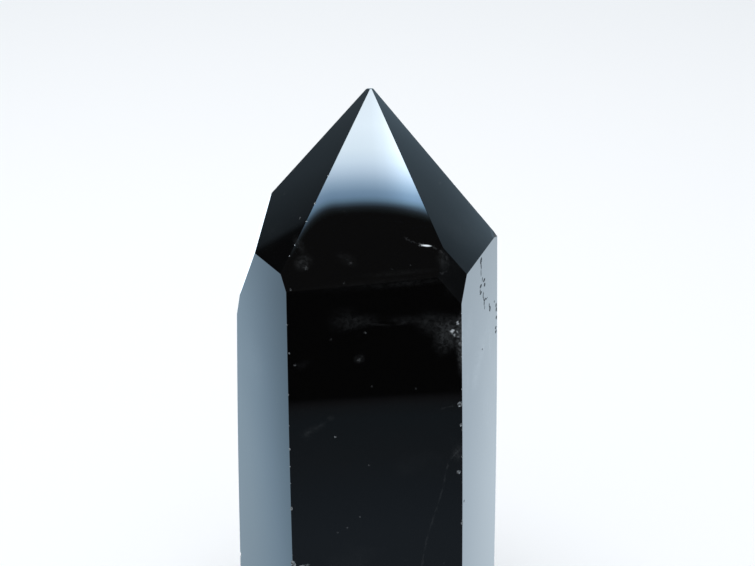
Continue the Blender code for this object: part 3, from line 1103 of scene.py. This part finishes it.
# %% The ceiling
CEILING_BY_RISE = (
    (42.0, grey(0.0)), (48.0, grey(0.25)), (54.0, grey(1.6)), (60.0, grey(4.0)), (66.0, grey(6.0, 0.8)),
    (90.0, grey(5.0, 0.8)),
)
CEILING_BY_TURN = (
    (0.0, 1.25), (25.0, 1.2), (50.0, 1.2), (75.0, 0.60), (100.0, 0.32), (130.0, 0.95), (160.0, 1.0),
    (200.0, 0.70), (225.0, 0.80), (262.0, 0.35), (288.0, 0.70), (335.0, 1.2), (360.0, 1.25),
)
ceiling_light = combine("MULTIPLY", ramp(sky_rise, CEILING_BY_RISE), share(around, CEILING_BY_TURN))
print("the ceiling starts", CEILING_BY_RISE[0][0], "degrees up")

# %% [markdown]
# ### The window
#
# The front face of the tip looks at a bright window high behind the camera. Downwards it turns from
# near white to blue and then black within about two degrees, where the wall below it begins. The face
# is so nearly flat that these two degrees cover much of it, and their lower border is the arch across
# it. The border is bent by two curves and is flat between them: steep to one side, gentle to the other.

# %% The window and the border below it
WINDOW_BY_TURN = ((150.0, 0.0), (160.0, 1.0), (180.0, 1.0), (196.0, 0.0))
WINDOW_BY_RISE = (
    (38.00, (0.0, 0.0, 0.0)), (38.08, (0.06, 0.09, 0.10)), (38.16, (0.20, 0.29, 0.38)),
    (38.25, (0.78, 1.30, 1.85)), (38.34, (1.85, 3.2, 4.6)), (38.45, (2.75, 4.55, 6.8)),
    (38.60, (3.4, 5.4, 7.8)), (38.86, (5.6, 8.0, 10.7)), (39.19, (9.25, 11.9, 14.8)),
    (39.50, (12.2, 15.0, 17.7)), (39.90, (14.5, 17.2, 19.4)), (40.60, (16.2, 18.7, 20.8)),
    (41.60, (15.6, 17.8, 19.8)),
)
WINDOW_FADES = ((41.6, 1.0), (46.0, 0.55), (54.0, 0.40), (90.0, 0.20))
WINDOW_FLAT_FROM = 172.8
WINDOW_FLAT_TO = 173.3
WINDOW_CURVE_BELOW = 0.043
WINDOW_CURVE_ABOVE = 0.30
WINDOW_MOST = 1.0

below = math_node(tree, "MAXIMUM", math_node(tree, "SUBTRACT", WINDOW_FLAT_FROM, around), 0.0)
above = math_node(tree, "MAXIMUM", math_node(tree, "SUBTRACT", around, WINDOW_FLAT_TO), 0.0)
fall_above = math_node(tree, "MULTIPLY", math_node(tree, "MULTIPLY", above, above), WINDOW_CURVE_ABOVE)
fall_below = math_node(tree, "MULTIPLY", math_node(tree, "MULTIPLY", below, below), WINDOW_CURVE_BELOW)
window_fall = math_node(tree, "MINIMUM", math_node(tree, "ADD", fall_above, fall_below), WINDOW_MOST)
window_rise = math_node(tree, "ADD", sky_rise, window_fall)
print("the window begins", WINDOW_BY_RISE[0][0], "degrees up")

# %% The window's brightness from side to side
WINDOW_RIGHT_GLOW = (
    (169.9, 1.66), (170.3, 1.68), (170.6, 1.54), (170.8, 1.40), (171.0, 1.27), (171.3, 1.12), (171.7, 1.02),
    (172.2, 1.0),
)
window_share = combine("MULTIPLY", share(around, WINDOW_BY_TURN), share(sky_rise, WINDOW_FADES))
window_share = combine("MULTIPLY", window_share, share(around, WINDOW_RIGHT_GLOW))
window_light = combine("MULTIPLY", ramp(window_rise, WINDOW_BY_RISE), window_share)
print("at its right end it is", WINDOW_RIGHT_GLOW[0][1], "times as bright")

# %% Show the surroundings to reflections only
AIR_COLOUR = (0.70, 0.73, 0.75, 1.0)

mirrored = paper_light
for light in (sides_light, table_light, room_light, backdrop_light, ceiling_light, window_light):
    mirrored = combine("ADD", mirrored, light)
chooser = tree.nodes.new("ShaderNodeMix")
chooser.data_type = "RGBA"
feed(tree, chooser.inputs["Factor"], tree.nodes.new("ShaderNodeLightPath").outputs["Is Glossy Ray"])
chooser.inputs["A"].default_value = AIR_COLOUR
feed(tree, chooser.inputs["B"], mirrored)
feed(tree, tree.nodes["Background"].inputs["Color"], chooser.outputs["Result"])
print("surroundings painted with", len(tree.nodes), "nodes")

# %% [markdown]
# ## Looking at it
#
# The camera stands where the first cell of the lesson put it. The colours are shown as they are, with
# no film curve over them, because a curve would grey the black that this stone is all about.

# %% The camera itself
NEAREST_SEEN = 0.01

camera_data = bpy.data.cameras.new("camera")
camera_data.sensor_width = SENSOR_WIDTH
camera_data.lens = LENS
camera_data.clip_start = NEAREST_SEEN
camera = bpy.data.objects.new("camera", camera_data)
sideways = direction(VIEW_AZIMUTH + 90.0, 0.0)
aim = sideways * AIM_ACROSS + Vector((0.0, 0.0, AIM_HEIGHT - HEIGHT)) - middle
towards = direction(VIEW_AZIMUTH, VIEW_RISE)
camera.location = aim + towards * VIEW_DISTANCE
camera.rotation_euler = towards.to_track_quat("Z", "Y").to_euler()
bpy.context.scene.collection.objects.link(camera)
bpy.context.scene.camera = camera
bpy.context.scene.view_settings.view_transform = "Standard"
print("camera at", [round(value / MM, 1) for value in camera.location])
